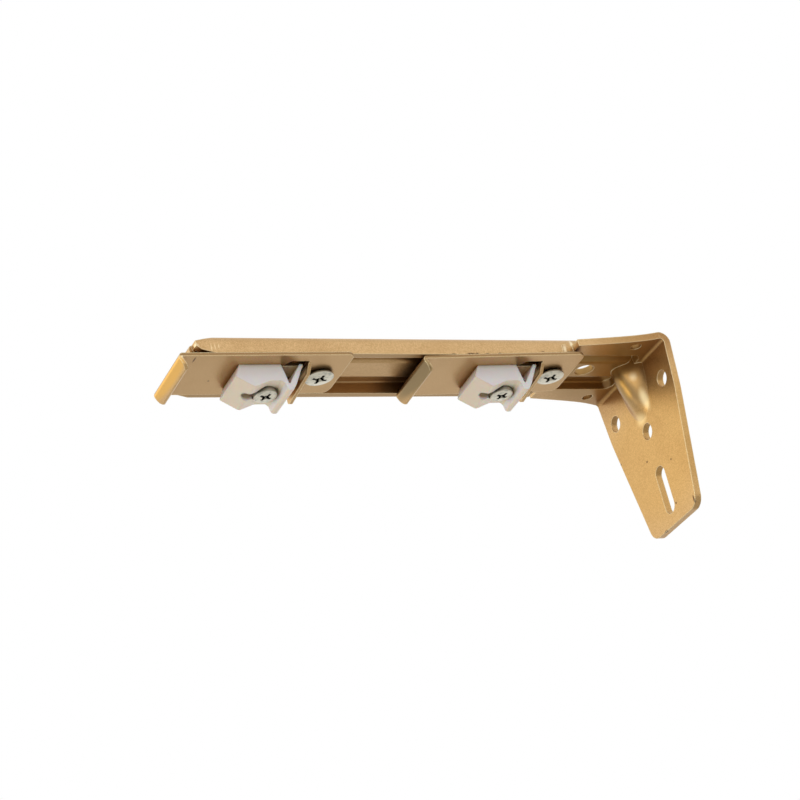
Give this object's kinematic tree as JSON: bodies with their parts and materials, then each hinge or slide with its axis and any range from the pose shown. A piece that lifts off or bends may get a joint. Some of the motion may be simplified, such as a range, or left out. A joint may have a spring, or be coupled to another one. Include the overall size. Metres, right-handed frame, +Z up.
{
  "type": "double curtain rail wall bracket",
  "caption": "Stamped wall arm with a tapered drilled leaf and a gusset, carrying two rail plates with hook lips and screwed plastic clamps under its channel.",
  "frame": {"origin": "on the wall face of the leaf, midway between the two upper wall holes", "axes": "+X out of the wall along the arm, +Y along the wall, +Z up"},
  "size_m": [0.1779, 0.048, 0.0644],
  "materials": {
    "gold_paint": "fine speckled metallic satin",
    "white_plastic": "moulded satin",
    "zinc_steel": "zinc plated"
  },
  "bodies": {
    "root": {"arm_bracket": "gold_paint", "rail_plate_front": "gold_paint", "rail_plate_rear": "gold_paint", "clamp_block_front": "white_plastic", "clamp_block_rear": "white_plastic", "clamp_screw_front": "zinc_steel", "clamp_screw_rear": "zinc_steel", "plate_screw_front": "zinc_steel", "plate_screw_rear": "zinc_steel"}
  },
  "joints": []
}
